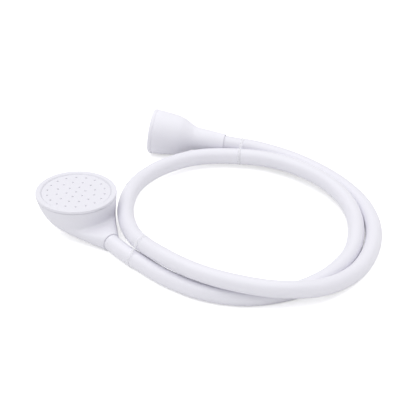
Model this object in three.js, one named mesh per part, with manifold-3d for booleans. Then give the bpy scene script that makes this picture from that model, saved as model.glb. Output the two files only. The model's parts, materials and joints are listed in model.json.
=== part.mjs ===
// Handheld shower head with its hose and push-on tap connector, in millimetres, +Z up.
// +X runs from the spray face towards the neck, the spray face looks up,
// and the origin lies under the middle of the head's own box, on the surface it rests on.
import * as THREE from 'three';
import { mergeVertices } from 'three/addons/utils/BufferGeometryUtils.js';
import Module from 'manifold-3d';

const wasm = await Module();
wasm.setup();

// Head
const faceX = -9; // middle of the spray face
const faceTopZ = 32;
const ringRadius = 34.2;
const ringBottomZ = 29.6;
const casingRadius = 34;
const casingTopZ = 29.2;
const casingWall = 2.4;
const neckEndX = 43.2;
const neckRadius = 7.9;
const neckZ = neckRadius; // the neck's end touches the surface
const neckBore = 5.9;
const neckPocket = 6.2; // behind the bore, for the washer and the clip
const collarOuter = 32.1;
const collarInner = 30.8;
const collarTopZ = 30.9;
const ledgeInner = 28.6;
const ledgeTopZ = 29;

// Spray plate
const plateRadius = 30.4;
const plateVisibleRadius = 29;
const plateBottomZ = 29.8;
const plateTopZ = 31.2;
const plateEdgeTopZ = 30.85;
const jetRadius = 0.75;
const jetTurn = THREE.MathUtils.degToRad(7); // of every circle of jets, from +X
const jetCircles = [
  { radius: 0, count: 1 },
  { radius: 8, count: 6 },
  { radius: 16.1, count: 12 },
  { radius: 24.3, count: 18 },
];

// Hose
const hoseRadius = 7;
const hoseBore = 4.95;
const hoseSides = 10;
const hoseBoreSides = 8;
const hoseSteps = 72;
const jointGap = 0.4; // clear gap between the hose end and the neck

// Tap connector: its mouth lip stands on the surface and its axis falls towards the hose
const cupTurn = THREE.MathUtils.degToRad(43);
const cupFall = THREE.MathUtils.degToRad(5);
const cupLength = 67;
const cupMouthRadius = 20.2;
const cupMouth = new THREE.Vector3(-77, 123, cupMouthRadius + 0.15);
const cupMouthBore = 17.6;
const cupNeckRadius = 8.4;
const cupNeckBore = 7.35;
const cupShoulder = 38; // from the mouth to the shoulder that the spigot flange bears on
const cupAxis = new THREE.Vector3(
  Math.cos(cupTurn) * Math.cos(cupFall),
  Math.sin(cupTurn) * Math.cos(cupFall),
  -Math.sin(cupFall),
);

// Route of the hose's centreline, from the neck round the loop, over itself and to the connector
const hoseRoute = [
  [neckEndX + jointGap, 0, neckZ], [61, 0.2, 7.7], [82, 2.5, 7.3], [115, 7.5, 7.1], [148, 20, 7.1],
  [174, 44, 7.1], [187, 78, 7.1], [186, 114, 7.1], [173, 147, 7.6], [150, 173, 8.8],
  [121, 191.4, 10.6], [88, 199.8, 12.2], [53.8, 199.2, 12.2], [18.7, 188.3, 11.3], [-9.6, 166.2, 10.3],
  [-27.4, 136.3, 10.6], [-29.6, 100.2, 11.2], [-18, 67, 12], [5, 41, 13.2], [34, 22.3, 15],
  [66, 11.7, 17.6], [102, 12.1, 20], [137, 19.2, 21.2], [168, 34.5, 21.3], [192.5, 58.5, 19],
  [202.5, 93, 12.5], [197.5, 129, 8], [181, 161, 7.1], [155.5, 187.5, 7.1], [123, 205.5, 7.1],
  [88, 213.5, 7.1], [54, 213.5, 7.3], [22, 205.5, 9],
].map((p) => new THREE.Vector3(...p));
const hoseEndAlongCup = [98, 78, 58, cupShoulder + 0.6]; // from the cup's mouth, along its axis
hoseRoute.push(...hoseEndAlongCup.map((s) => cupMouth.clone().addScaledVector(cupAxis, s)));
const hosePath = new THREE.CatmullRomCurve3(hoseRoute, false, 'catmullrom', 0.5);

// Ties
const tieThickness = 0.8;
const tieWidth = 2.6;
const tieClear = 0.7;

// Materials
const whitePlastic = { color: 0xe9e8ef, roughness: 0.32, metalness: 0 };
const whiteRubber = { color: 0xe6e5ed, roughness: 0.62, metalness: 0 };
const greySilicone = { color: 0xb9bcc4, roughness: 0.7, metalness: 0 };
const clearPlastic = { color: 0xf1f1f4, roughness: 0.4, metalness: 0 };
const naturalAcetal = { color: 0xdcdcd2, roughness: 0.45, metalness: 0 };
const springSteel = { color: 0xa9adb3, roughness: 0.3, metalness: 1 };
const blackRubber = { color: 0x1f2023, roughness: 0.8, metalness: 0 };

function node(name, geometry, look) {
  const mesh = new THREE.Mesh(geometry, new THREE.MeshStandardMaterial(look));
  mesh.name = name;
  return mesh;
}

function toSolid(geometry) {
  const bare = geometry.clone();
  bare.deleteAttribute('normal');
  bare.deleteAttribute('uv');
  const merged = mergeVertices(bare, 1e-4);
  return new wasm.Manifold(new wasm.Mesh({
    numProp: 3,
    vertProperties: Float32Array.from(merged.attributes.position.array),
    triVerts: Uint32Array.from(merged.index.array),
  }));
}

function toGeometry(solid) {
  const mesh = solid.getMesh();
  const geometry = new THREE.BufferGeometry();
  geometry.setAttribute('position', new THREE.BufferAttribute(mesh.vertProperties, 3));
  geometry.setIndex(new THREE.BufferAttribute(mesh.triVerts, 1));
  return geometry;
}

// A closed body through equal rings of points, with a flat cap on the first and the last ring.
function ringBody(rings) {
  const count = rings[0].length;
  const middle = (ring) => ring.reduce((sum, p) => sum.add(p), new THREE.Vector3()).divideScalar(count);
  const points = [...rings.flat(), middle(rings[0]), middle(rings.at(-1))];
  const firstMiddle = rings.length * count;
  const lastMiddle = firstMiddle + 1;
  const faces = [];
  for (let r = 0; r < rings.length - 1; r++) {
    for (let k = 0; k < count; k++) {
      const next = (k + 1) % count;
      const a = r * count + k;
      const b = r * count + next;
      const c = a + count;
      const d = b + count;
      faces.push(a, d, b, a, c, d);
    }
  }
  const last = (rings.length - 1) * count;
  for (let k = 0; k < count; k++) {
    const next = (k + 1) % count;
    faces.push(firstMiddle, k, next);
    faces.push(lastMiddle, last + next, last + k);
  }
  const geometry = new THREE.BufferGeometry();
  geometry.setAttribute('position', new THREE.Float32BufferAttribute(points.flatMap((p) => p.toArray()), 3));
  geometry.setIndex(faces);
  return geometry;
}

// A turned body: profile pairs are [radius, height], counter-clockwise.
// It closes on itself, unless it starts on the axis and then ends there too.
function turned(profile, sides) {
  const closed = profile[0][0] === 0 ? profile : [...profile, profile[0]];
  return new THREE.LatheGeometry(closed.map(([r, h]) => new THREE.Vector2(r, h)), sides);
}

// Turned about +Z at the middle of the spray face, heights being real heights.
function turnedOnFace(profile, sides) {
  return turned(profile, sides).rotateX(Math.PI / 2).translate(faceX, 0, 0);
}

// Turned about the neck's axis, heights being positions along +X.
function turnedOnNeck(profile, sides) {
  return turned(profile, sides).rotateZ(-Math.PI / 2).translate(0, 0, neckZ);
}

function circlePath(x, y, radius, sides) {
  const path = new THREE.Path();
  for (let k = 0; k < sides; k++) {
    const a = (2 * Math.PI * k) / sides;
    const method = k === 0 ? 'moveTo' : 'lineTo';
    path[method](x + radius * Math.cos(a), y + radius * Math.sin(a));
  }
  path.closePath();
  return path;
}

function discShape(radius, sides) {
  return new THREE.Shape(circlePath(0, 0, radius, sides).getPoints());
}

// Outline of the casing in the plane y = 0: the side away from the neck and under it,
// and the side next to the neck. The half width goes with them from the bowl to the neck.
function casingCurves() {
  const edge = casingRadius;
  const outer = new THREE.CubicBezierCurve(
    new THREE.Vector2(faceX - edge, casingTopZ),
    new THREE.Vector2(faceX - edge + 7, 8.5),
    new THREE.Vector2(faceX + 9, 0),
    new THREE.Vector2(neckEndX, neckZ - neckRadius),
  );
  const inner = new THREE.CubicBezierCurve(
    new THREE.Vector2(faceX + edge, casingTopZ),
    new THREE.Vector2(faceX + edge + 1.5, 13),
    new THREE.Vector2(faceX + edge - 7, neckZ + neckRadius - 0.6),
    new THREE.Vector2(neckEndX, neckZ + neckRadius),
  );
  const width = new THREE.CubicBezierCurve(
    new THREE.Vector2(edge, 0),
    new THREE.Vector2(edge - 3, 0),
    new THREE.Vector2(25.5, 0),
    new THREE.Vector2(neckRadius, 0),
  );
  return { outer, inner, width };
}

// One ring of the casing at t from 0 (bowl mouth) to 1 (neck end), drawn in by inset all round.
function casingRing(curves, t, inset, sides) {
  const inward = (curve, side) => {
    const tangent = curve.getTangent(t);
    return curve.getPoint(t).add(new THREE.Vector2(-tangent.y, tangent.x).multiplyScalar(inset * side));
  };
  const a = inward(curves.outer, 1);
  const b = inward(curves.inner, -1);
  const halfWidth = curves.width.getPoint(t).x - inset;
  const ring = [];
  for (let k = 0; k < sides; k++) {
    const angle = (2 * Math.PI * k) / sides;
    const u = (1 + Math.cos(angle)) / 2;
    ring.push(new THREE.Vector3(
      a.x + (b.x - a.x) * u,
      halfWidth * Math.sin(angle),
      a.y + (b.y - a.y) * u,
    ));
  }
  return ring;
}

function headShell() {
  const curves = casingCurves();
  const sides = 32;
  const outerSteps = 16;
  const hollowSteps = 9;
  const outerRings = [];
  for (let k = 0; k <= outerSteps; k++) {
    outerRings.push(casingRing(curves, k / outerSteps, 0, sides));
  }
  const hollowRings = [];
  for (const z of [casingTopZ + 1, ledgeTopZ - 1.5]) {
    const mouth = circlePath(faceX, 0, collarInner, sides).getPoints().slice(0, sides);
    hollowRings.push(mouth.map((p) => new THREE.Vector3(p.x, p.y, z)));
  }
  for (let k = 1; k <= hollowSteps; k++) {
    const part = k / hollowSteps;
    hollowRings.push(casingRing(curves, 0.8 * part, casingWall + 0.8 * (1 - part), sides));
  }
  const collar = toSolid(turnedOnFace([
    [collarInner, ledgeTopZ], [ledgeInner, ledgeTopZ], [ledgeInner, 27.9], [collarInner + 0.3, 27],
    [collarOuter, 28], [collarOuter, collarTopZ], [collarInner, collarTopZ],
  ], 32));
  const bore = toSolid(turnedOnNeck([
    [0, 22.5], [neckPocket, 22.5], [neckPocket, 28.2], [neckBore, 28.2], [neckBore, neckEndX + 1], [0, neckEndX + 1],
  ], 24));
  const shell = toSolid(ringBody(outerRings)).subtract(toSolid(ringBody(hollowRings)));
  return toGeometry(shell.add(collar).subtract(bore));
}

function faceRing() {
  return turnedOnFace([
    [collarOuter + 0.4, ringBottomZ], [ringRadius, ringBottomZ], [ringRadius, 31],
    [ringRadius - 0.3, 31.7], [ringRadius - 1, faceTopZ], [plateVisibleRadius + 1.1, faceTopZ],
    [plateVisibleRadius + 0.2, 31.2], [plateVisibleRadius + 0.2, 31.1], [collarOuter + 0.4, 31.1],
  ], 48);
}

function jetHoles(sides) {
  const holes = [];
  for (const { radius, count } of jetCircles) {
    for (let k = 0; k < count; k++) {
      const a = jetTurn + (2 * Math.PI * k) / count;
      holes.push(circlePath(radius * Math.cos(a), radius * Math.sin(a), jetRadius, sides));
    }
  }
  return holes;
}

// The plate's disc has the jet holes, and a lower rim that the face ring holds down.
function sprayPlate() {
  const disc = discShape(plateVisibleRadius, 40);
  disc.holes = jetHoles(6);
  const height = plateTopZ - plateBottomZ;
  const plate = new THREE.ExtrudeGeometry(disc, { depth: height, bevelEnabled: false });
  plate.translate(faceX, 0, plateBottomZ);
  const rim = turnedOnFace([
    [plateVisibleRadius - 0.8, plateBottomZ], [plateRadius, plateBottomZ],
    [plateRadius, plateEdgeTopZ], [plateVisibleRadius - 0.8, plateEdgeTopZ],
  ], 40);
  return toGeometry(toSolid(plate).add(toSolid(rim)));
}

function plateGasket() {
  return turnedOnFace([
    [ledgeInner + 0.3, 29.15], [collarInner - 0.4, 29.15], [collarInner - 0.4, 29.65], [ledgeInner + 0.3, 29.65],
  ], 32);
}

// A disc on three pegs under the plate, which spreads the water before it reaches the jets.
function flowSpreader() {
  const disc = discShape(24.5, 24);
  const slots = 18;
  for (let k = 0; k < slots; k++) {
    const a = (2 * Math.PI * k) / slots;
    disc.holes.push(circlePath(21.3 * Math.cos(a), 21.3 * Math.sin(a), 1.6, 6));
  }
  const pegs = 3;
  let spreader = toSolid(new THREE.ExtrudeGeometry(disc, { depth: 1.4, bevelEnabled: false }));
  for (let k = 0; k < pegs; k++) {
    const a = (2 * Math.PI * (k + 0.25)) / pegs;
    const peg = new THREE.CylinderGeometry(1.5, 1.9, 4, 12).rotateX(Math.PI / 2);
    peg.translate(12 * Math.cos(a), 12 * Math.sin(a), 2.5);
    spreader = spreader.add(toSolid(peg));
  }
  return toGeometry(spreader).translate(faceX, 0, 25);
}

// A bush in the neck's bore, in which the hose's spigot turns.
function neckBush() {
  return turnedOnNeck([[4.7, 28.5], [5.6, 28.5], [5.6, 42.9], [4.7, 42.9]], 24);
}

// The spigot turns in the neck and is barbed where the hose is pushed over it.
function headSpigot() {
  const journal = 4.4;
  const groove = 3.5;
  const profile = [
    [journal, 24.4], [journal, 26], [groove, 26], [groove, 27.2], [journal, 27.2],
    [journal, 33], [groove, 33], [groove, 35], [journal, 35], [journal, 43.2],
  ];
  for (let barb = 0; barb < 3; barb++) {
    const start = 44.4 + barb * 4;
    profile.push([4.3, start], [3.8, start + 3.6]);
  }
  profile.push([3.6, 57], [2.6, 57], [2.6, 25.8], [3.3, 25.8], [3.3, 24.4]);
  return turnedOnNeck(profile, 16);
}

function spigotORing() {
  const ring = new THREE.TorusGeometry(4.05, 0.44, 8, 24).rotateY(Math.PI / 2);
  return ring.translate(34, 0, neckZ);
}

// An open spring clip in the spigot's inner groove.
function spigotClip() {
  const shape = new THREE.Shape();
  const opening = 0.5;
  shape.absarc(0, 0, 6, opening, 2 * Math.PI - opening, false);
  shape.absarc(0, 0, 3.7, 2 * Math.PI - opening, opening, true);
  shape.closePath();
  const clip = new THREE.ExtrudeGeometry(shape, { depth: 0.8, bevelEnabled: false, curveSegments: 20 });
  return clip.rotateY(Math.PI / 2).translate(26.2, 0, neckZ);
}

function spigotWasher() {
  return turnedOnNeck([[4.6, 27.35], [5.9, 27.35], [5.9, 28.05], [4.6, 28.05]], 24);
}

// A small perforated disc, axis along +Z, with one ring of holes round a middle one.
function strainer(radius, thickness, holeRadius, holeCircle) {
  const disc = discShape(radius, 24);
  disc.holes.push(circlePath(0, 0, holeRadius, 8));
  const holes = 6;
  for (let k = 0; k < holes; k++) {
    const a = (2 * Math.PI * k) / holes;
    disc.holes.push(circlePath(holeCircle * Math.cos(a), holeCircle * Math.sin(a), holeRadius, 8));
  }
  return new THREE.ExtrudeGeometry(disc, { depth: thickness, bevelEnabled: false });
}

function inletStrainer() {
  return strainer(3.05, 0.9, 0.5, 1.8).rotateY(Math.PI / 2).translate(24.6, 0, neckZ);
}

function hoseTube() {
  const section = discShape(hoseRadius, hoseSides);
  section.holes.push(circlePath(0, 0, hoseBore, hoseBoreSides));
  return new THREE.ExtrudeGeometry(section, { steps: hoseSteps, bevelEnabled: false, extrudePath: hosePath });
}

// A band round two strands that lie side by side, at the points a and b of the hose's centreline.
function hoseTie(a, b, along) {
  const span = b.clone().sub(a);
  const across = span.clone().normalize();
  const normal = along.clone().addScaledVector(across, -along.dot(across)).normalize();
  const third = new THREE.Vector3().crossVectors(normal, across);
  const band = (radius) => {
    const path = new THREE.Path();
    path.absarc(-span.length() / 2, 0, radius, Math.PI / 2, 1.5 * Math.PI, false);
    path.absarc(span.length() / 2, 0, radius, 1.5 * Math.PI, 2.5 * Math.PI, false);
    path.closePath();
    return path;
  };
  const inside = hoseRadius + tieClear;
  const shape = new THREE.Shape(band(inside + tieThickness).getPoints(10));
  shape.holes.push(new THREE.Path(band(inside).getPoints(10)));
  const geometry = new THREE.ExtrudeGeometry(shape, { depth: tieWidth, bevelEnabled: false });
  geometry.translate(0, 0, -tieWidth / 2);
  const middle = a.clone().add(b).multiplyScalar(0.5);
  const place = new THREE.Matrix4().makeBasis(across, third, normal).setPosition(middle);
  return geometry.applyMatrix4(place);
}

// The point of the hose's centreline nearest to a place, looked for between two parts of its length.
function hosePointNear(place, from, to) {
  const samples = 400;
  let best = null;
  for (let k = 0; k <= samples; k++) {
    const u = from + ((to - from) * k) / samples;
    const point = hosePath.getPointAt(u);
    const distance = point.distanceTo(place);
    if (best === null || distance < best.distance) {
      best = { point, distance, tangent: hosePath.getTangentAt(u) };
    }
  }
  return best;
}

function headTie() {
  const lower = hosePointNear(new THREE.Vector3(75, 2, 7), 0, 0.2);
  const upper = hosePointNear(lower.point, 0.5, 0.7);
  return hoseTie(lower.point, upper.point, lower.tangent);
}

function tapTie() {
  const inner = hosePointNear(new THREE.Vector3(-6, 170, 9), 0.3, 0.5);
  const outer = hosePointNear(inner.point, 0.8, 1);
  return hoseTie(inner.point, outer.point, inner.tangent);
}

// The connector's soft cup: a bell that is pushed over the tap, with gripping ribs inside,
// and a neck round the hose. Heights run from the mouth along the cup's axis.
function tapCup() {
  const outside = [
    [18.9, 0], [19.7, 0.4], [20.1, 1.2], [cupMouthRadius, 2.2], [19.8, 7], [19.2, 13], [18.5, 19], [17.7, 24],
    [16.6, 28], [14.9, 31.5], [12.9, 35], [11.2, 38.5], [10.4, 41.5], [9.9, 46], [9.3, 54],
    [cupNeckRadius, cupLength - 0.4], [cupNeckRadius - 0.3, cupLength],
  ];
  const inside = [[cupNeckBore, cupLength], [cupNeckBore, cupShoulder], [8.5, cupShoulder], [8.5, 34.4]];
  inside.push([10.4, 31], [13.4, 27], [15.1, 22.6]);
  for (const rib of [18, 12, 6]) {
    inside.push([15.3 + (18 - rib) / 12, rib + 2.6], [14.7 + (18 - rib) / 12, rib + 1.8]);
    inside.push([14.7 + (18 - rib) / 12, rib + 1], [15.6 + (18 - rib) / 12, rib]);
  }
  inside.push([cupMouthBore, 1], [cupMouthBore + 0.4, 0]);
  return turned([...outside, ...inside], 32);
}

// The barbed insert in the hose's end, whose flange bears on the cup's inner shoulder.
function cupSpigot() {
  const profile = [
    [5.2, 35.3], [8.1, 35.3], [8.1, 37], [4.5, 37],
    [4.5, 39], [3.9, 42.4], [4.5, 42.4], [3.9, 46], [4.5, 46], [3.9, 49.6],
    [3.7, 55], [2.8, 55], [2.8, 36.6], [5.2, 36.6],
  ];
  return turned(profile, 16);
}

function cupWasher() {
  return turned([[4.8, 37.2], [8, 37.2], [8, 37.8], [4.8, 37.8]], 24);
}

function cupStrainer() {
  return strainer(4.9, 0.9, 0.8, 3).rotateX(-Math.PI / 2).translate(0, 35.5, 0);
}

// A ring in the spigot's bore that limits the flow.
function flowLimiter() {
  return turned([[1.2, 42], [2.5, 42], [2.5, 44], [1.6, 44]], 16);
}

function tapConnector() {
  const group = new THREE.Group();
  group.position.copy(cupMouth);
  group.quaternion.setFromUnitVectors(new THREE.Vector3(0, 1, 0), cupAxis);
  group.add(node('tap_cup', tapCup(), whiteRubber));
  group.add(node('cup_spigot', cupSpigot(), naturalAcetal));
  group.add(node('cup_washer', cupWasher(), blackRubber));
  group.add(node('cup_strainer', cupStrainer(), springSteel));
  group.add(node('flow_limiter', flowLimiter(), naturalAcetal));
  return group;
}

const showerHead = new THREE.Group();
showerHead.add(node('head_shell', headShell(), whitePlastic));
showerHead.add(node('face_ring', faceRing(), whitePlastic));
showerHead.add(node('spray_plate', sprayPlate(), whitePlastic));
showerHead.add(node('plate_gasket', plateGasket(), greySilicone));
showerHead.add(node('flow_spreader', flowSpreader(), whitePlastic));
showerHead.add(node('neck_bush', neckBush(), naturalAcetal));
showerHead.add(node('head_spigot', headSpigot(), naturalAcetal));
showerHead.add(node('spigot_o_ring', spigotORing(), blackRubber));
showerHead.add(node('spigot_clip', spigotClip(), springSteel));
showerHead.add(node('spigot_washer', spigotWasher(), naturalAcetal));
showerHead.add(node('inlet_strainer', inletStrainer(), springSteel));
showerHead.add(node('hose', hoseTube(), whiteRubber));
showerHead.add(node('head_tie', headTie(), clearPlastic));
showerHead.add(node('tap_tie', tapTie(), clearPlastic));
showerHead.add(tapConnector());

export default showerHead;
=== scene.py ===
import json
import math

import bpy
import numpy as np
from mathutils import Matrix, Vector


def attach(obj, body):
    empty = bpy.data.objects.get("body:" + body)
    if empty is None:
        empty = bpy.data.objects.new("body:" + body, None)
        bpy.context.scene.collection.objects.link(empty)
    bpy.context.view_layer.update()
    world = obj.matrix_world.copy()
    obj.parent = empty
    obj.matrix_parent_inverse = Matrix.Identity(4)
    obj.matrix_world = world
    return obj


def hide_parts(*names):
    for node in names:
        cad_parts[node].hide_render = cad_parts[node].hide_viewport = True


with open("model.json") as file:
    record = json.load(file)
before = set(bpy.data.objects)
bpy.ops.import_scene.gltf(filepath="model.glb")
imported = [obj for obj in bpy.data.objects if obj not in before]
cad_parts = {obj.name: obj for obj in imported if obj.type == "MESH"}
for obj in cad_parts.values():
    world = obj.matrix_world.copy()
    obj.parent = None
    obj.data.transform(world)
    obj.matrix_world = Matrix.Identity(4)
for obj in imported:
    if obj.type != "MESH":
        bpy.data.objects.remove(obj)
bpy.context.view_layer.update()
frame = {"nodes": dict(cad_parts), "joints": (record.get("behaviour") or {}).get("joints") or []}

# Handheld shower head with its hose and push-on tap connector, in metres.
# Shapes are worked out in millimetres and scaled by mm when they become meshes.
mm = 0.001
joints = {j["name"]: j for j in frame["joints"]}

viewpoint = {
    "azimuth": 54,          # degrees, 0 looks along +Y
    "elevation": 31,
    "distance": 1.5,
    "aim": (0.0352, 0.1044, 0.0),
    "lens": 151.2,          # mm
    "sensor": 36,           # mm
}


# The camera stands back from its aim by the distance, in the direction of the two angles.
def makeCamera():
    a = math.radians(viewpoint["azimuth"])
    e = math.radians(viewpoint["elevation"])
    back = Vector((math.sin(a) * math.cos(e), -math.cos(a) * math.cos(e), math.sin(e)))
    camera = bpy.data.objects.new("camera", bpy.data.cameras.new("camera"))
    camera.data.lens = viewpoint["lens"]
    camera.data.sensor_width = viewpoint["sensor"]
    camera.location = Vector(viewpoint["aim"]) + back * viewpoint["distance"]
    camera.rotation_mode = "QUATERNION"
    camera.rotation_quaternion = (-back).to_track_quat("-Z", "Y")
    bpy.context.scene.collection.objects.link(camera)
    bpy.context.scene.camera = camera


makeCamera()
print("view set")


# A direction: each vector over its own length.
def unit(v):
    return v / np.linalg.norm(v, axis=-1, keepdims=True)


# A mesh from a grid of places, rows by columns: four neighbours make a face, columns close on
# themselves, and rows either close too or end in a fan round their middle. Corners get a map of
# columns across (0 to 1) and metres along. Faces are turned so that the enclosed volume is positive.
def surface(name, grid, closeRows=True, along=None, sharp=35):
    rows, columns = grid.shape[:2]
    points = grid.reshape(-1, 3) * mm
    r = np.arange(rows if closeRows else rows - 1)[:, None]
    c = np.arange(columns)[None, :]
    below = (r + 1) % rows
    beside = (c + 1) % columns
    quads = np.stack([r * columns + c, r * columns + beside,
                      below * columns + beside, below * columns + c], axis=-1).reshape(-1, 4)
    far = np.linalg.norm(np.diff(grid, axis=0), axis=2).mean(axis=1).cumsum() * mm
    along = np.concatenate([[0], far]) if along is None else along * mm
    last = along[-1] + (along[-1] - along[-2])
    down = np.append(along, last)
    u0 = np.broadcast_to(c / columns, (len(r), columns))
    v0 = np.broadcast_to(down[:-1][r], u0.shape)
    v1 = np.broadcast_to(down[1:][r], u0.shape)
    step = 1 / columns
    uv = np.stack([u0, v0, u0 + step, v0, u0 + step, v1, u0, v1], axis=-1).reshape(-1, 4, 2)
    triangles = np.zeros((0, 3), int)
    if not closeRows:
        ends = grid[[0, -1]].mean(axis=1) * mm
        first = len(points)
        points = np.concatenate([points, ends])
        k = np.arange(columns)
        k2 = (k + 1) % columns
        start = (rows - 1) * columns
        triangles = np.concatenate([
            np.stack([np.full(columns, first), k2, k], axis=1),
            np.stack([np.full(columns, first + 1), start + k, start + k2], axis=1)])
    corners = np.concatenate([quads[:, [0, 1, 2]], quads[:, [0, 2, 3]], triangles])
    a, b, d = (points[corners[:, i]] for i in range(3))
    if (a * np.cross(b, d)).sum() < 0:
        quads = quads[:, ::-1]
        uv = uv[:, ::-1]
        triangles = triangles[:, ::-1]
    mesh = bpy.data.meshes.new(name)
    mesh.from_pydata(points.tolist(), [], quads.tolist() + triangles.tolist())
    layer = mesh.uv_layers.new(name="skin")
    flat = np.concatenate([uv.reshape(-1, 2), np.zeros((triangles.size, 2))])
    layer.data.foreach_set("uv", flat.astype(np.float32).ravel())
    mesh.shade_smooth()
    mesh.set_sharp_from_angle(angle=math.radians(sharp))
    piece = bpy.data.objects.new(name, mesh)
    bpy.context.scene.collection.objects.link(piece)
    return piece


# A place to turn things about: an origin, an axis and two directions across it.
def spindle(origin, axis, across):
    axis = unit(np.array(axis, float))
    across = np.array(across, float)
    across = unit(across - axis * (across @ axis))
    return np.array(origin, float), axis, across, np.cross(axis, across)


# Profile points are (radius, height): each sweeps a circle about the spindle's axis.
def sweep(profile, sides, about):
    origin, axis, across, third = about
    profile = np.asarray(profile, float)
    a = 2 * np.pi * np.arange(sides) / sides
    ring = np.cos(a)[:, None] * across + np.sin(a)[:, None] * third
    return origin + profile[:, 1, None, None] * axis + profile[:, 0, None, None] * ring


# A closed outline from corners (across, up, radius): each corner becomes an arc of that radius,
# with a further point just before and after it that keeps the flats flat. An arc takes up no more
# than a share of the shorter side beside it, and a corner with no radius stays as it is.
def rounded(corners, steps=5):
    share = 0.42
    guard = 1.15            # how far out the further points stand, in runs of the arc
    straight = 1.55         # half of an angle so wide that there is nothing to round, in radians
    out = []
    for k, corner in enumerate(corners):
        x, y, radius = (*corner, 0)[:3]
        here = np.array([x, y])
        toLast = np.array(corners[k - 1][:2]) - here
        toNext = np.array(corners[(k + 1) % len(corners)][:2]) - here
        reach = share * min(np.linalg.norm(toLast), np.linalg.norm(toNext))
        toLast = unit(toLast)
        toNext = unit(toNext)
        half = math.acos(np.clip(toLast @ toNext, -1, 1)) / 2
        if radius == 0 or half > straight:
            out.append(here)
            continue
        run = min(radius / math.tan(half), reach)
        bow = run * math.tan(half)
        centre = here + unit(toLast + toNext) * bow / math.sin(half)
        start = here + toLast * run - centre
        end = here + toNext * run - centre
        turn = math.pi - 2 * half
        t = np.linspace(0, 1, steps)[:, None]
        arc = (np.sin((1 - t) * turn) * start + np.sin(t * turn) * end) / math.sin(turn)
        out.append(here + toLast * run * guard)
        out.extend(centre + arc)
        out.append(here + toNext * run * guard)
    return np.array(out)


# The smooth line through points that the CAD part follows too: each span is a cubic whose slope at
# a point is half the step between that point's neighbours.
def throughPoints(points, perSpan):
    p = np.array(points, float)
    p = np.concatenate([[2 * p[0] - p[1]], p, [2 * p[-1] - p[-2]]])
    a, b, c, d = (p[i:len(p) - 3 + i, None] for i in range(4))
    t = (np.arange(perSpan) / perSpan)[None, :, None]
    spans = 0.5 * (2 * b + (c - a) * t + (2 * a - 5 * b + 4 * c - d) * t ** 2
                   + (3 * b - a - 3 * c + d) * t ** 3)
    return np.concatenate([spans.reshape(-1, p.shape[1]), p[-2:-1]])


# Corners as rounded() takes them, as an outline that stays open: the first and the last stay sharp.
def roundedOpen(corners, steps=5):
    ends = [(*corners[0][:2], 0), *corners[1:-1], (*corners[-1][:2], 0)]
    return rounded(ends, steps)


# A cubic Bezier curve at t, from 0 to 1: points is its four handles.
def bezier(points, t):
    p = np.array(points, float)
    t = np.asarray(t, float)[:, None]
    s = 1 - t
    return s ** 3 * p[0] + 3 * s ** 2 * t * p[1] + 3 * s * t ** 2 * p[2] + t ** 3 * p[3]


# Names a finished piece's body, the CAD node that it stands for and its material.
def settle(piece, body, node, material):
    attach(piece, body)
    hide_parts(node)
    piece.data.materials.clear()
    piece.data.materials.append(material)
    return piece


# The same surface with the cutters taken out of it, as a plain mesh with no modifier left.
def cutOut(piece, cutter, sharp=28):
    modifier = piece.modifiers.new("cut", "BOOLEAN")
    modifier.operation = "DIFFERENCE"
    modifier.solver = "EXACT"
    modifier.object = cutter
    depsgraph = bpy.context.evaluated_depsgraph_get()
    made = bpy.data.meshes.new_from_object(piece.evaluated_get(depsgraph))
    piece.modifiers.clear()
    bpy.data.objects.remove(cutter)
    piece.data = made
    made.shade_smooth()
    made.set_sharp_from_angle(angle=math.radians(sharp))
    return piece


# One mesh of many turned cutters, each the same profile (radius, height) moved to its own place.
def manyCutters(profile, sides, places, about):
    origin, _, across, third = about
    single = sweep(profile, sides, about) - origin
    rows = len(profile)
    points = []
    faces = []
    k = np.arange(sides)
    k2 = (k + 1) % sides
    rings = [np.stack([r * sides + k, r * sides + k2, (r + 1) * sides + k2, (r + 1) * sides + k], axis=1)
             for r in range(rows - 1)]
    for x, y in places:
        start = len(points) * rows * sides
        points.append((single + origin + x * across + y * third).reshape(-1, 3))
        faces.extend((np.concatenate(rings) + start).tolist())
        faces.append((k[::-1] + start).tolist())
        faces.append((k + (rows - 1) * sides + start).tolist())
    mesh = bpy.data.meshes.new("cutters")
    mesh.from_pydata((np.concatenate(points) * mm).tolist(), [], faces)
    cutter = bpy.data.objects.new("cutters", mesh)
    bpy.context.scene.collection.objects.link(cutter)
    return cutter


# Circles of evenly spaced places: (radius, count) each, turned by an angle in degrees.
def onCircles(circles, turn=0):
    places = []
    for radius, count in circles:
        a = math.radians(turn) + 2 * np.pi * np.arange(count) / count
        places.extend(np.stack([radius * np.cos(a), radius * np.sin(a)], axis=1))
    return places


# An empty node group with its inputs (name, kind, value) and its outputs (name, kind).
def newGroup(name, inputs, outputs):
    group = bpy.data.node_groups.new(name, "ShaderNodeTree")
    for socket, kind, value in inputs:
        made = group.interface.new_socket(name=socket, in_out="INPUT", socket_type=kind)
        made.default_value = value
    for socket, kind in outputs:
        group.interface.new_socket(name=socket, in_out="OUTPUT", socket_type=kind)
    return group, group.nodes.new("NodeGroupInput"), group.nodes.new("NodeGroupOutput")


# Fractal noise from 0 to 1: scale is its cells per unit of the vector that it reads.
def addNoise(group, vector, scale, detail=3.0, roughness=0.5):
    noise = group.nodes.new("ShaderNodeTexNoise")
    noise.inputs["Detail"].default_value = detail
    noise.inputs["Roughness"].default_value = roughness
    noise.inputs["Scale"].default_value = scale
    group.links.new(vector, noise.inputs["Vector"])
    return noise.outputs["Fac"]


# One sum, product or other operation on sockets or plain numbers.
def addMath(group, operation, a, b=None):
    node = group.nodes.new("ShaderNodeMath")
    node.operation = operation
    for socket, value in zip(node.inputs, (a, b)):
        if isinstance(value, (int, float)):
            socket.default_value = value
        elif value is not None:
            group.links.new(value, socket)
    return node.outputs[0]


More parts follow.
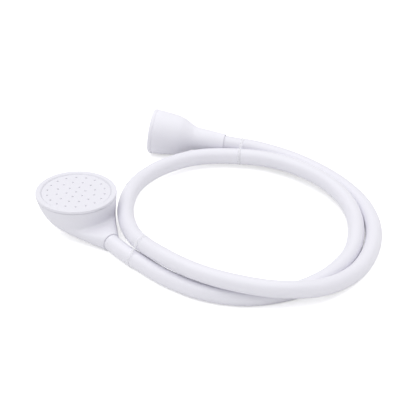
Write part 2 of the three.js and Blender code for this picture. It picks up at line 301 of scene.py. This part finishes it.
# Colour a little darker and lighter by a mask: colour times (1 + amount * (mask - 0.5)).
def addMottle(group, colour, mask, amount):
    shift = addMath(group, "MULTIPLY", addMath(group, "SUBTRACT", mask, 0.5), amount)
    factor = addMath(group, "ADD", shift, 1.0)
    mix = group.nodes.new("ShaderNodeVectorMath")
    mix.operation = "SCALE"
    group.links.new(colour, mix.inputs[0])
    group.links.new(factor, mix.inputs["Scale"])
    return mix.outputs[0]


# A normal tilted by the slope of a height, whose full range stands for the distance in metres.
def addBump(group, height, strength, distance):
    bump = group.nodes.new("ShaderNodeBump")
    bump.inputs["Distance"].default_value = distance
    group.links.new(height, bump.inputs["Height"])
    group.links.new(strength, bump.inputs["Strength"])
    return bump.outputs["Normal"]


# Roughness that wanders about its middle value: roughness plus spread * (mask - 0.5).
def addWander(group, entry, mask):
    wander = addMath(group, "MULTIPLY", addMath(group, "SUBTRACT", mask, 0.5), entry.outputs["Spread"])
    return addMath(group, "ADD", entry.outputs["Roughness"], wander)


skinInputs = [("Colour", "NodeSocketColor", (0.8, 0.8, 0.8, 1)), ("Mottle", "NodeSocketFloat", 0.04),
              ("Roughness", "NodeSocketFloat", 0.4), ("Spread", "NodeSocketFloat", 0.12)]
skinOutputs = [("Colour", "NodeSocketColor"), ("Roughness", "NodeSocketFloat"),
               ("Normal", "NodeSocketVector")]
moulded = {                 # the first three in cells per metre
    "clouds": 46,
    "handling": 310,
    "grain": 2600,
    "cloudShare": 1.5,      # of the clouds in the bump, against the grain
    "depth": 0.00012,       # of the bump, in metres
}


# Moulded plastic and rubber: slow clouds of tone where the melt flowed, a roughness that wanders,
# faint scuffs from handling and the fine grain of the mould.
def makeMouldedSkin():
    group, entry, leave = newGroup(
        "mouldedSkin",
        [*skinInputs, ("Grain", "NodeSocketFloat", 0.15)], skinOutputs)
    place = group.nodes.new("ShaderNodeTexCoord").outputs["Object"]
    clouds = addNoise(group, place, moulded["clouds"], detail=4.0)
    handling = addNoise(group, place, moulded["handling"], detail=5.0, roughness=0.6)
    grain = addNoise(group, place, moulded["grain"], detail=2.0)
    group.links.new(addMottle(group, entry.outputs["Colour"], clouds, entry.outputs["Mottle"]),
                    leave.inputs["Colour"])
    group.links.new(addWander(group, entry, handling), leave.inputs["Roughness"])
    height = addMath(group, "ADD", grain, addMath(group, "MULTIPLY", clouds, moulded["cloudShare"]))
    group.links.new(addBump(group, height, entry.outputs["Grain"], moulded["depth"]), leave.inputs["Normal"])
    return group


extruded = {                # stretch: units of noise space per metre of hose; scale: cells per unit
    "lines": {"stretch": 1.5, "scale": 11, "detail": 3.0, "roughness": 0.6},
    "clouds": {"stretch": 26, "scale": 1.1, "detail": 4.0, "roughness": 0.5},
    "scuffs": {"stretch": 90, "scale": 2.2, "detail": 5.0, "roughness": 0.65},
    "depth": 0.0004,        # of the bump, in metres
}


# Extruded hose: fine lines drawn along it by the die, read from the skin map as a circle of
# directions so that they meet all round, with slow changes of tone along its length.
def makeExtrudedSkin():
    group, entry, leave = newGroup(
        "extrudedSkin",
        [*skinInputs, ("Lines", "NodeSocketFloat", 0.1)], skinOutputs)
    skin = group.nodes.new("ShaderNodeUVMap")
    skin.uv_map = "skin"
    split = group.nodes.new("ShaderNodeSeparateXYZ")
    group.links.new(skin.outputs["UV"], split.inputs[0])
    angle = addMath(group, "MULTIPLY", split.outputs["X"], 2 * math.pi)

    # noise on a circle of directions carried along the hose
    def roundTube(values):
        join = group.nodes.new("ShaderNodeCombineXYZ")
        group.links.new(addMath(group, "COSINE", angle), join.inputs["X"])
        group.links.new(addMath(group, "SINE", angle), join.inputs["Y"])
        group.links.new(addMath(group, "MULTIPLY", split.outputs["Y"], values["stretch"]), join.inputs["Z"])
        return addNoise(group, join.outputs[0], values["scale"], values["detail"], values["roughness"])

    lines = roundTube(extruded["lines"])
    clouds = roundTube(extruded["clouds"])
    scuffs = roundTube(extruded["scuffs"])
    group.links.new(addMottle(group, entry.outputs["Colour"], clouds, entry.outputs["Mottle"]),
                    leave.inputs["Colour"])
    group.links.new(addWander(group, entry, scuffs), leave.inputs["Roughness"])
    group.links.new(addBump(group, lines, entry.outputs["Lines"], extruded["depth"]), leave.inputs["Normal"])
    return group


mouldedSkin = makeMouldedSkin()
extrudedSkin = makeExtrudedSkin()


# A material whose skin group feeds colour, roughness and normal. What is the same all over the
# surface is set on the shader's own sockets.
def makeFinish(name, skin, skinValues, **shaderValues):
    material = bpy.data.materials.new(name)
    material.use_nodes = True
    tree = material.node_tree
    shader = tree.nodes["Principled BSDF"]
    look = tree.nodes.new("ShaderNodeGroup")
    look.node_tree = skin
    for socket, value in skinValues.items():
        look.inputs[socket].default_value = (*value, 1) if socket == "Colour" else value
    tree.links.new(look.outputs["Colour"], shader.inputs["Base Color"])
    tree.links.new(look.outputs["Roughness"], shader.inputs["Roughness"])
    tree.links.new(look.outputs["Normal"], shader.inputs["Normal"])
    for socket, value in shaderValues.items():
        shader.inputs[socket.replace("_", " ")].default_value = value
    return material


finishes = {
    "whitePlastic": makeFinish(
        "satinWhitePlastic", mouldedSkin,
        {"Colour": (0.775, 0.768, 0.83), "Mottle": 0.03, "Roughness": 0.36, "Spread": 0.16, "Grain": 0.10},
        Specular_IOR_Level=0.45),
    "hosePvc": makeFinish(
        "softWhiteHose", extrudedSkin,
        {"Colour": (0.79, 0.782, 0.845), "Mottle": 0.035, "Roughness": 0.34, "Spread": 0.2, "Lines": 0.12},
        Specular_IOR_Level=0.5),
    "cupRubber": makeFinish(
        "softWhiteRubber", mouldedSkin,
        {"Colour": (0.83, 0.822, 0.885), "Mottle": 0.045, "Roughness": 0.58, "Spread": 0.18, "Grain": 0.22},
        Specular_IOR_Level=0.4, Sheen_Weight=0.08, Sheen_Roughness=0.5),
    "clearFilm": makeFinish(
        "clearFilm", mouldedSkin,
        {"Colour": (0.93, 0.93, 0.96), "Mottle": 0.05, "Roughness": 0.2, "Spread": 0.25, "Grain": 0.3},
        Alpha=0.24, IOR=1.46, Coat_Weight=0.3, Coat_Roughness=0.15),
    "silicone": makeFinish(
        "greySilicone", mouldedSkin,
        {"Colour": (0.47, 0.49, 0.53), "Mottle": 0.08, "Roughness": 0.62, "Spread": 0.15, "Grain": 0.2}),
    "acetal": makeFinish(
        "naturalAcetal", mouldedSkin,
        {"Colour": (0.72, 0.71, 0.64), "Mottle": 0.05, "Roughness": 0.38, "Spread": 0.14, "Grain": 0.12}),
    "springSteel": makeFinish(
        "springSteel", mouldedSkin,
        {"Colour": (0.56, 0.57, 0.58), "Mottle": 0.12, "Roughness": 0.27, "Spread": 0.2, "Grain": 0.1},
        Metallic=1.0),
    "nitrile": makeFinish(
        "blackRubber", mouldedSkin,
        {"Colour": (0.018, 0.018, 0.02), "Mottle": 0.2, "Roughness": 0.6, "Spread": 0.2, "Grain": 0.25}),
}
print("finishes made")

cupMouth = np.array(joints["cup_swivel"]["pos_m"]) / mm
cupAxis = unit(np.array(joints["cup_swivel"]["axis"]))
neckEnd = np.array(joints["head_swivel"]["pos_m"]) / mm
neckSpindle = spindle([0, 0, neckEnd[2]], (1, 0, 0), (0, 0, 1))
cupSpindle = spindle(cupMouth, cupAxis, (0, 0, 1))

hose = {
    "radius": 7.0,
    "bore": 4.95,
    "gapAtNeck": 0.4,
    "endRounding": 0.2,
    "sides": 44,
    "perSpan": 22,                          # points of the line in each span of the route
    "endSteps": 5,
    "boreStep": 3,                          # the bore has a circle at every third point of the line
    "pathStep": 4,                          # the declared path keeps every fourth
    "pointsInCup": (98, 78, 58, 38.6),      # from the cup's mouth, along its axis
    # the route from the neck round the loop, over itself and on to the cup, in metres
    "route": [
        (0.061, 0.0002, 0.0077), (0.082, 0.0025, 0.0073), (0.115, 0.0075, 0.0071),
        (0.148, 0.020, 0.0071), (0.174, 0.044, 0.0071), (0.187, 0.078, 0.0071),
        (0.186, 0.114, 0.0071), (0.173, 0.147, 0.0076), (0.150, 0.173, 0.0088),
        (0.121, 0.1914, 0.0106), (0.088, 0.1998, 0.0122), (0.0538, 0.1992, 0.0122),
        (0.0187, 0.1883, 0.0113), (-0.0096, 0.1662, 0.0103), (-0.0274, 0.1363, 0.0106),
        (-0.0296, 0.1002, 0.0112), (-0.018, 0.067, 0.012), (0.005, 0.041, 0.0132),
        (0.034, 0.0223, 0.015), (0.066, 0.0117, 0.0176), (0.102, 0.0121, 0.020),
        (0.137, 0.0192, 0.0212), (0.168, 0.0345, 0.0213), (0.1925, 0.0585, 0.019),
        (0.2025, 0.093, 0.0125), (0.1975, 0.129, 0.008), (0.181, 0.161, 0.0071),
        (0.1555, 0.1875, 0.0071), (0.123, 0.2055, 0.0071), (0.088, 0.2135, 0.0071),
        (0.054, 0.2135, 0.0073), (0.022, 0.2055, 0.009)],
}


# The hose's middle line: from the neck's end through the route, and straight into the cup.
def hoseLine():
    start = neckEnd + [hose["gapAtNeck"], 0, 0]
    end = [cupMouth + cupAxis * s for s in hose["pointsInCup"]]
    middle = np.array(hose["route"]) / mm
    return throughPoints([start, *middle, *end], hose["perSpan"])


# The length walked at each point: the sum of the steps up to it.
def lengthAlong(line):
    return np.concatenate([[0], np.linalg.norm(np.diff(line, axis=0), axis=1).cumsum()])


# Values given at every point of the line, looked up at lengths along it.
def lookUp(values, walked, lengths):
    return np.stack([np.interp(lengths, walked, values[:, k]) for k in range(values.shape[1])], axis=1)


# The tube: circles across the line, out along the skin with softened ends and back along the bore.
# Each circle runs from beside the line over the top of it.
def makeHose(line, walked):
    forward = unit(np.gradient(line, axis=0))
    beside = unit(np.cross(forward, [0, 0, 1]))
    total = walked[-1]
    soft = hose["endRounding"]
    quarter = np.linspace(0, np.pi / 2, hose["endSteps"])
    lead = soft * (1 - np.cos(quarter))
    drawnIn = soft * (1 - np.sin(quarter))
    skinAt = np.concatenate([lead, walked[2:-2], total - lead[::-1]])
    skinRadius = hose["radius"] - np.concatenate([drawnIn, 0 * walked[2:-2], drawnIn[::-1]])
    boreAt = walked[::-hose["boreStep"]]
    boreAt = np.append(boreAt[:-1], 0)
    at = np.concatenate([skinAt, boreAt])
    radius = np.concatenate([skinRadius, np.full(len(boreAt), hose["bore"])])
    centre = lookUp(line, walked, at)
    side = unit(lookUp(beside, walked, at))
    over = unit(np.cross(side, lookUp(forward, walked, at)))
    a = 2 * np.pi * np.arange(hose["sides"]) / hose["sides"]
    circle = side[:, None] * np.cos(a)[None, :, None] + over[:, None] * np.sin(a)[None, :, None]
    return surface("hose_tube", centre[:, None] + circle * radius[:, None, None], along=at)


line = hoseLine()
walked = lengthAlong(line)
hoseTube = settle(makeHose(line, walked), "hose_line", "hose", finishes["hosePvc"])
print("hose", round(walked[-1] * mm, 3), "m")

tie = {
    "inner": 7.2,           # inside radius round each strand
    "thickness": 0.35,
    "width": 2.6,
    "roundInside": 0.15,
    "roundOutside": 0.2,
    "steps": 26,            # round each half circle, and along each straight
    # where each tie is: a place beside the first strand, then the shares of the hose's length
    # between which the first and the second strand are looked for
    "headTie": ((75, 2, 7), (0, 0.2), (0.5, 0.7)),
    "tapTie": ((-6, 170, 9), (0.3, 0.5), (0.8, 1)),
}


# The point of the line nearest to a place, looked for between two shares of its length, and the
# line's direction there.
def nearestOnHose(place, start, end):
    inside = (walked >= start * walked[-1]) & (walked <= end * walked[-1])
    distance = np.where(inside, np.linalg.norm(line - place, axis=1), np.inf)
    k = distance.argmin()
    return line[k], unit(line[k + 1] - line[k - 1])


# A band round two strands. Its loop is two half circles joined by straights; the band's width
# points along the one strand at one end, along the other at the other, and blends between.
def makeTie(name, a, b, alongA, alongB):
    if alongA @ alongB < 0:
        alongB = -alongB
    span = np.linalg.norm(b - a)
    across = (b - a) / span
    t = np.linspace(0, 1, tie["steps"], endpoint=False)
    turnA = np.pi / 2 + np.pi * t
    turnB = -np.pi / 2 + np.pi * t
    straight = np.zeros_like(t)
    out = np.concatenate([np.cos(turnA), straight, np.cos(turnB), straight])
    up = np.concatenate([np.sin(turnA), straight - 1, np.sin(turnB), straight + 1])
    middle = np.concatenate([straight, t, straight + 1, 1 - t])      # 0 at a, 1 at b
    blend = (middle ** 2 * (3 - 2 * middle))[:, None]
    along = alongA * (1 - blend) + alongB * blend
    along = unit(along - (along @ across)[:, None] * across)
    third = np.cross(along, across)
    outward = out[:, None] * across + up[:, None] * third
    centre = a + across * span * middle[:, None]
    half = tie["width"] / 2
    thick = tie["thickness"]
    section = rounded([(-half, 0, tie["roundInside"]), (half, 0, tie["roundInside"]),
                       (half, thick, tie["roundOutside"]), (-half, thick, tie["roundOutside"])], 3)
    radial = tie["inner"] + section[:, 1]
    grid = (centre[:, None] + outward[:, None] * radial[None, :, None]
            + along[:, None] * section[None, :, 0, None])
    return surface(name, grid, sharp=50)


def placeTie(name, node, where):
    place, firstPart, secondPart = where
    a, alongA = nearestOnHose(np.array(place), *firstPart)
    b, alongB = nearestOnHose(a, *secondPart)
    band = makeTie(name, a, b, alongA, alongB)
    return settle(band, "hose_line", node, finishes["clearFilm"])


headTie = placeTie("head_tie_band", "head_tie", tie["headTie"])
tapTie = placeTie("tap_tie_band", "tap_tie", tie["tapTie"])
print("ties made")

head = {
    "middle": -9.0,         # of the spray face, along X
    "mouth": 34.0,          # radius of the casing's mouth
    "mouthHeight": 29.2,
    "wall": 2.4,
    "thickerAtMouth": 0.8,
    "neck": 7.9,
    "neckBore": 5.9,
    "pocket": 6.2,
    # middle handles of the Bezier profiles, two for each
    "farBelly": (7, 8.5),           # in from the mouth's far edge, and height
    "farSole": (9, 0),              # past the mouth's middle, and height
    "nearBelly": (1.5, 13),         # out from the mouth's near edge, and height
    "nearThroat": (7, 0.6),         # in from the mouth's near edge, and below the neck's top
    "sideBelly": 3,                 # less than the mouth's radius
    "sideWaist": 25.5,              # half width
    # the neck's end, which almost meets the hose
    "endReach": 0.22,
    "boreBevel": 0.4,
    "endRounding": [(0, 0.32), (0.03, 0.19), (0.11, 0.08), (0.24, 0.02)],   # back, and below the skin
    # the mouth from outside to inside, with the collar and the plate's ledge: (radius, height, rounding)
    "collar": [(34, 28.2), (34, 29.2, 0.3), (32.1, 29.2, 0.12), (32.1, 30.9, 0.2), (30.8, 30.9, 0.2),
               (30.8, 29, 0.1), (28.6, 29, 0.2), (28.6, 27.9, 0.2), (30.4, 27.2)],
    # the way from the hollow into the neck's bore: each row's lowest and highest point, (along, up)
    "throat": [((24, 1.7), (35.4, 14.0)), ((28.2, 1.7), (35.8, 14.1)),
               ((28.2, 2.0), (36, 13.8)), ((36, 2.0), (38, 13.8))],
    "skinSpan": (0.996, 0.012),     # the part of the profiles that the skin takes, from neck to mouth
    "hollowSpan": (0.1, 0.8),       # and the hollow, from mouth to neck
    "rings": 72,
    "hollowRings": 26,
    "sides": 128,
}
faceSpindle = spindle([head["middle"], 0, 0], (0, 0, 1), (1, 0, 0))


# One row of the casing: the ring goes from the point a of its far side to the point b of its near
# side in the plane y = 0, and stands half a width out on either side.
def casingRows(a, b, halfWidth):
    phi = 2 * np.pi * np.arange(head["sides"]) / head["sides"]
    u = (1 + np.cos(phi)) / 2
    x = a[:, :1] + (b[:, :1] - a[:, :1]) * u
    z = a[:, 1:] + (b[:, 1:] - a[:, 1:]) * u
    return np.stack([x, np.asarray(halfWidth)[:, None] * np.sin(phi), z], axis=-1)


# The casing between its two Bezier profiles at t from 0, the mouth, to 1, the neck's end, drawn in
# by inset along the profiles' normals.
def casingAt(t, inset):
    x = head["middle"]
    r = head["mouth"]
    top = head["mouthHeight"]
    end = neckEnd[0]
    neckLow = neckEnd[2] - head["neck"]
    neckTop = neckEnd[2] + head["neck"]
    farIn, farUp = head["farBelly"]
    solePast, soleUp = head["farSole"]
    nearOut, nearUp = head["nearBelly"]
    throatIn, throatDown = head["nearThroat"]
    far = [(x - r, top), (x - r + farIn, farUp), (x + solePast, soleUp), (end, neckLow)]
    near = [(x + r, top), (x + r + nearOut, nearUp), (x + r - throatIn, neckTop - throatDown), (end, neckTop)]
    width = [(r, 0), (r - head["sideBelly"], 0), (head["sideWaist"], 0), (head["neck"], 0)]
    step = 1e-3
    farSlope = unit(bezier(far, t + step) - bezier(far, t - step))
    nearSlope = unit(bezier(near, t + step) - bezier(near, t - step))
    inset = np.broadcast_to(inset, t.shape)[:, None]
    a = bezier(far, t) + inset * np.stack([-farSlope[:, 1], farSlope[:, 0]], axis=1)
    b = bezier(near, t) - inset * np.stack([-nearSlope[:, 1], nearSlope[:, 0]], axis=1)
    return casingRows(a, b, bezier(width, t)[:, 0] - inset[:, 0])


# Rows that are circles about the face's axis: (radius, height).
def faceRows(profile):
    r = profile[:, 0]
    z = profile[:, 1]
    x = head["middle"]
    return casingRows(np.stack([x - r, z], axis=1), np.stack([x + r, z], axis=1), r)


# Rows that are circles about the neck's axis: (position, radius).
def neckRows(profile):
    x = profile[:, 0]
    r = profile[:, 1]
    z = neckEnd[2]
    return casingRows(np.stack([x, z - r], axis=1), np.stack([x, z + r], axis=1), r)


# The casing is one closed surface: the neck's end face, the skin up to the mouth, the collar and the
# ledge, the hollow back down a wall's thickness inside the skin, and the throat into the neck's bore.
def makeHeadShell():
    bore = head["neckBore"]
    bevel = head["boreBevel"]
    lip = neckEnd[0] + head["endReach"]
    corner = [(lip - back, head["neck"] - below) for back, below in head["endRounding"]]
    endFace = neckRows(np.array([(neckEnd[0] - bevel, bore), (lip, bore + bevel), *corner]))
    outer = casingAt(np.linspace(*head["skinSpan"], head["rings"]), 0.0)
    mouth = roundedOpen(head["collar"])[1:]
    t = np.linspace(*head["hollowSpan"], head["hollowRings"])
    hollow = casingAt(t, head["wall"] + head["thickerAtMouth"] * (1 - t / head["hollowSpan"][1]))
    low, high = np.array(head["throat"], float).transpose(1, 0, 2)
    throat = casingRows(low, high, np.repeat([head["pocket"], bore], 2))
    grid = np.concatenate([endFace, outer, faceRows(mouth), hollow, throat])
    return surface("head_casing", grid, sharp=40)


settle(makeHeadShell(), "head", "head_shell", finishes["whitePlastic"])

faceRing = {
    "corners": [                     # (radius, height, rounding)
        (32.5, 29.45, 0.15), (34.2, 29.45, 0.35), (34.2, 32, 0.95), (30.1, 32, 0.5),
        (29.2, 31.15, 0), (29.2, 31.1, 0), (32.5, 31.1, 0)],
    "cornerSteps": 6,
    "sides": 160,
}
ringProfile = rounded(faceRing["corners"], faceRing["cornerSteps"])
ringBezel = surface("face_bezel", sweep(ringProfile, faceRing["sides"], faceSpindle), sharp=40)
settle(ringBezel, "face_ring", "face_ring", finishes["whitePlastic"])

sprayPlate = {
    "outline": [                     # (radius, height, rounding), from a small circle out and back
        (4, 29.8), (30.4, 29.8, 0.15), (30.4, 30.85, 0.15), (29.08, 30.85, 0.08),
        (29.08, 31.2, 0.2), (4, 31.2)],
    "jets": [(0, 1), (8, 6), (16.1, 12), (24.3, 18)],       # circles of jets: radius and count
    "turn": 7,                       # degrees
    "jet": [(0.62, 29), (0.62, 30.65), (1.05, 31.2), (1.45, 31.65)],    # bore and countersink
    "jetSides": 14,
    "sides": 160,
}


# The plate is its outline turned about the face's axis, closed by flat fans in the middle, with
# the turned jets cut out of it.
def makeSprayPlate():
    profile = roundedOpen(sprayPlate["outline"])
    plate = surface("jet_plate", sweep(profile, sprayPlate["sides"], faceSpindle), closeRows=False)
    places = onCircles(sprayPlate["jets"], sprayPlate["turn"])
    return cutOut(plate, manyCutters(sprayPlate["jet"], sprayPlate["jetSides"], places, faceSpindle))


settle(makeSprayPlate(), "spray_plate", "spray_plate", finishes["whitePlastic"])
print("head made")

cup = {                     # every (radius, distance from the mouth)
    "outline": [
        (19.5, 3.9), (19.8, 4.5), (19.75, 7.5), (19.2, 13), (18.5, 19), (17.7, 24), (16.6, 28),
        (14.9, 31.5), (12.9, 35), (11.2, 38.5), (10.4, 41.5), (9.9, 46), (9.3, 54), (8.7, 62), (8.4, 66)],
    "perSpan": 5,
    "lip": [(17.6, 1.4), (17.7, 0.6), (18.0, 0.12), (18.5, 0), (19.05, 0.14), (19.65, 0.55),
            (20.08, 1.3), (20.2, 2.2), (20.0, 3.2)],
    "lipPerSpan": 4,
    # round the neck's end, down its bore and over the washer's seat to the bell, with roundings
    "neck": [(8.4, 66), (8.35, 67, 0.5), (7.35, 67, 0.3), (7.35, 38), (8.5, 38, 0.2),
             (8.5, 34.4, 0.5), (10.4, 31, 1), (13.4, 27, 2), (15.1, 22.6, 1)],
    "ribs": (18, 12, 6),    # where each gripping rib's foot is
    "ribCorners": [         # of the first rib, from its foot: (radius, distance, rounding)
        (15.3, 2.6, 0.5), (14.7, 1.8, 0.3), (14.7, 1, 0.3), (15.6, 0, 0.6)],
    "ribWidening": 1 / 12,  # of the next ribs, for each mm nearer the mouth
    "sides": 96,
}


# The cup is one closed outline turned about its axis: the rounded lip, the bell outside up to the
# neck's end, back through the neck, and down the ribbed inside to the lip.
def makeCup():
    outline = throughPoints(cup["outline"], cup["perSpan"])
    lip = throughPoints(cup["lip"], cup["lipPerSpan"])
    neck = roundedOpen(cup["neck"])[1:]
    ribs = []
    for foot in cup["ribs"]:
        wider = (cup["ribs"][0] - foot) * cup["ribWidening"]
        ribs += [(radius + wider, foot + up, rounding) for radius, up, rounding in cup["ribCorners"]]
    inside = roundedOpen([cup["neck"][-1][:2], *ribs, cup["lip"][0]], 4)[1:-1]
    profile = np.concatenate([lip, outline[:-1], neck[:-1], inside])
    return surface("connector_cup", sweep(profile, cup["sides"], cupSpindle), sharp=45)


connectorCup = settle(makeCup(), "tap_cup", "tap_cup", finishes["cupRubber"])
print("cup made")


# Barbs along a stem: each stands up to high and slopes back to low over nine tenths of the pitch.
def barbs(start, count, pitch, high, low):
    points = []
    for k in range(count):
        points += [(high, start + k * pitch, 0.12), (low, start + (k + 0.9) * pitch, 0.05)]
    return points


# A round section: points on a circle about (radius, position).
def roundSection(radius, position, thickness, count=16):
    a = 2 * np.pi * np.arange(count) / count
    return np.stack([radius + thickness * np.cos(a), position + thickness * np.sin(a)], axis=1).tolist()


# Small turned pieces. Corners are (radius, position along the axis, rounding).
turned = {
    "gasket_ring": {
        "about": faceSpindle, "sides": 120, "body": "head", "node": "plate_gasket",
        "slot": "grey_silicone", "finish": "silicone",
        "corners": [(28.9, 29.1, 0.2), (30.4, 29.1, 0.2), (30.4, 29.7, 0.2), (28.9, 29.7, 0.2)]},
    "neck_bushing": {
        "about": neckSpindle, "sides": 48, "body": "head", "node": "neck_bush",
        "slot": "natural_acetal", "finish": "acetal",
        "corners": [(4.7, 28.5, 0.2), (5.6, 28.5, 0.2), (5.6, 42.9, 0.2), (4.7, 42.9, 0.2)]},
    "turning_spigot": {
        "about": neckSpindle, "sides": 48, "body": "hose_line", "node": "head_spigot",
        "slot": "natural_acetal", "finish": "acetal",
        "corners": [(4.4, 24.4, 0.2), (4.4, 26, 0.1), (3.5, 26, 0.1), (3.5, 27.2, 0.1), (4.4, 27.2, 0.1),
                    (4.4, 33, 0.1), (3.5, 33, 0.1), (3.5, 35, 0.1), (4.4, 35, 0.1), (4.4, 43.2, 0.15),
                    *barbs(44.4, 3, 4, 4.3, 3.8),
                    (3.6, 57, 0.3), (2.6, 57, 0.2), (2.6, 25.8, 0.1), (3.3, 25.8, 0.1), (3.3, 24.4, 0.2)]},
    "thrust_washer": {
        "about": neckSpindle, "sides": 48, "body": "head", "node": "spigot_washer",
        "slot": "natural_acetal", "finish": "acetal",
        "corners": [(4.6, 27.35, 0.1), (5.9, 27.35, 0.1), (5.9, 28.05, 0.1), (4.6, 28.05, 0.1)]},
    "sealing_ring": {
        "about": neckSpindle, "sides": 48, "body": "hose_line", "node": "spigot_o_ring",
        "slot": "black_rubber", "finish": "nitrile",
        "corners": roundSection(4.05, 34, 0.46)},
    "hose_insert": {
        "about": cupSpindle, "sides": 48, "body": "hose_line", "node": "cup_spigot",
        "slot": "natural_acetal", "finish": "acetal",
        "corners": [(5.2, 35.3, 0.3), (8.1, 35.3, 0.4), (8.1, 37, 0.3), (4.5, 37, 0.1),
                    *barbs(39, 3, 3.6, 4.5, 3.9),
                    (3.7, 55, 0.3), (2.8, 55, 0.2), (2.8, 36.6, 0.1), (5.2, 36.6, 0.1)]},
    "cup_gasket": {
        "about": cupSpindle, "sides": 48, "body": "tap_cup", "node": "cup_washer",
        "slot": "black_rubber", "finish": "nitrile",
        "corners": [(4.8, 37.2, 0.15), (8, 37.2, 0.15), (8, 37.8, 0.15), (4.8, 37.8, 0.15)]},
    "limiter_ring": {
        "about": cupSpindle, "sides": 48, "body": "hose_line", "node": "flow_limiter",
        "slot": "natural_acetal", "finish": "acetal",
        "corners": [(1.2, 42, 0.1), (2.5, 42, 0.2), (2.5, 44, 0.2), (1.6, 44, 0.2)]},
}


# Each is its rounded outline turned about its axis.
def makeTurned():
    for name, part in turned.items():
        piece = surface(name, sweep(rounded(part["corners"], 4), part["sides"], part["about"]), sharp=40)
        settle(piece, part["body"], part["node"], finishes[part["finish"]])


strainers = {
    "inlet_mesh": {
        "about": neckSpindle, "node": "inlet_strainer", "radius": 3.05, "low": 24.6, "high": 25.5,
        "hole": 0.32, "circles": [(0, 1), (1, 6), (1.95, 12)]},
    "tap_mesh": {
        "about": cupSpindle, "node": "cup_strainer", "radius": 4.9, "low": 35.5, "high": 36.4,
        "hole": 0.45, "circles": [(0, 1), (1.35, 6), (2.65, 12), (3.95, 18)]},
}


# A strainer is a disc with a rounded edge, closed by flat fans inside a tenth of its radius, and
# drilled on circles. The drills run half a millimetre past both faces.
def makeStrainers():
    for name, disc in strainers.items():
        radius = disc["radius"]
        low = disc["low"]
        high = disc["high"]
        profile = roundedOpen([(radius * 0.1, low), (radius, low, 0.15),
                               (radius, high, 0.15), (radius * 0.1, high)])
        piece = surface(name, sweep(profile, 72, disc["about"]), closeRows=False)
        drill = [(disc["hole"], low - 0.5), (disc["hole"], high + 0.5)]
        cutOut(piece, manyCutters(drill, 16, onCircles(disc["circles"]), disc["about"]))
        settle(piece, "hose_line", disc["node"], finishes["springSteel"])


clip = {
    "halfGap": 0.5,         # radians from the top to each end
    "corners": [            # (radius, position along the axis, rounding)
        (3.7, 26.2, 0.1), (6, 26.2, 0.1), (6, 27, 0.1), (3.7, 27, 0.1)],
    "steps": 60,
}


# An open clip: a small rounded section carried round an arc that stops short of closing.
def makeClip():
    a = np.linspace(clip["halfGap"], 2 * np.pi - clip["halfGap"], clip["steps"])
    origin, axis, across, third = neckSpindle
    section = rounded(clip["corners"], 3)
    outward = np.cos(a)[:, None] * across + np.sin(a)[:, None] * third
    grid = origin + outward[:, None] * section[None, :, 0, None] + axis * section[None, :, 1, None]
    piece = surface("spring_clip", grid, closeRows=False, sharp=45)
    settle(piece, "hose_line", "spigot_clip", finishes["springSteel"])


makeTurned()
makeStrainers()
makeClip()

# The spreader keeps its CAD shape.
spreader = frame["nodes"]["flow_spreader"]
spreader.material_slots[0].link = "OBJECT"
spreader.material_slots[0].material = finishes["whitePlastic"]
print("small parts made")

studio = {
    "world": 0.66,
    "sun": 1.5,
    "sunAngle": 80,                 # degrees: a very wide source leaves soft shade only
    "sunFrom": (-0.12, -0.05, 1.0),
    "floorHalf": 15.0,
    "floorTone": 0.92,
    "floorGlow": 0.5,               # for the camera only: it lights nothing
}


# A white sky, one very wide light from above and a pale floor.
def makeStudio():
    world = bpy.data.worlds.new("studio")
    world.use_nodes = True
    world.node_tree.nodes["Background"].inputs["Color"].default_value = (1, 1, 1, 1)
    world.node_tree.nodes["Background"].inputs["Strength"].default_value = studio["world"]
    bpy.context.scene.world = world
    light = bpy.data.objects.new("sky_panel", bpy.data.lights.new("sky_panel", "SUN"))
    light.data.energy = studio["sun"]
    light.data.angle = math.radians(studio["sunAngle"])
    light.rotation_mode = "QUATERNION"
    light.rotation_quaternion = Vector(studio["sunFrom"]).to_track_quat("Z", "Y")
    bpy.context.scene.collection.objects.link(light)
    half = studio["floorHalf"]
    mesh = bpy.data.meshes.new("floor")
    mesh.from_pydata([(-half, -half, 0), (half, -half, 0), (half, half, 0), (-half, half, 0)],
                     [], [(0, 1, 2, 3)])
    floor = bpy.data.objects.new("floor", mesh)
    bpy.context.scene.collection.objects.link(floor)
    paper = bpy.data.materials.new("paper")
    paper.use_nodes = True
    shader = paper.node_tree.nodes["Principled BSDF"]
    seen = paper.node_tree.nodes.new("ShaderNodeLightPath").outputs["Is Camera Ray"]
    glow = paper.node_tree.nodes.new("ShaderNodeMapRange")
    glow.inputs["To Min"].default_value = 0
    glow.inputs["To Max"].default_value = studio["floorGlow"]
    paper.node_tree.links.new(seen, glow.inputs["Value"])
    paper.node_tree.links.new(glow.outputs["Result"], shader.inputs["Emission Strength"])
    shader.inputs["Base Color"].default_value = (*[studio["floorTone"]] * 3, 1)
    shader.inputs["Roughness"].default_value = 0.9
    shader.inputs["Specular IOR Level"].default_value = 0.1
    shader.inputs["Emission Color"].default_value = (1, 1, 1, 1)
    mesh.materials.append(paper)
    bpy.context.scene.view_settings.view_transform = "Standard"


makeStudio()
print("studio made")
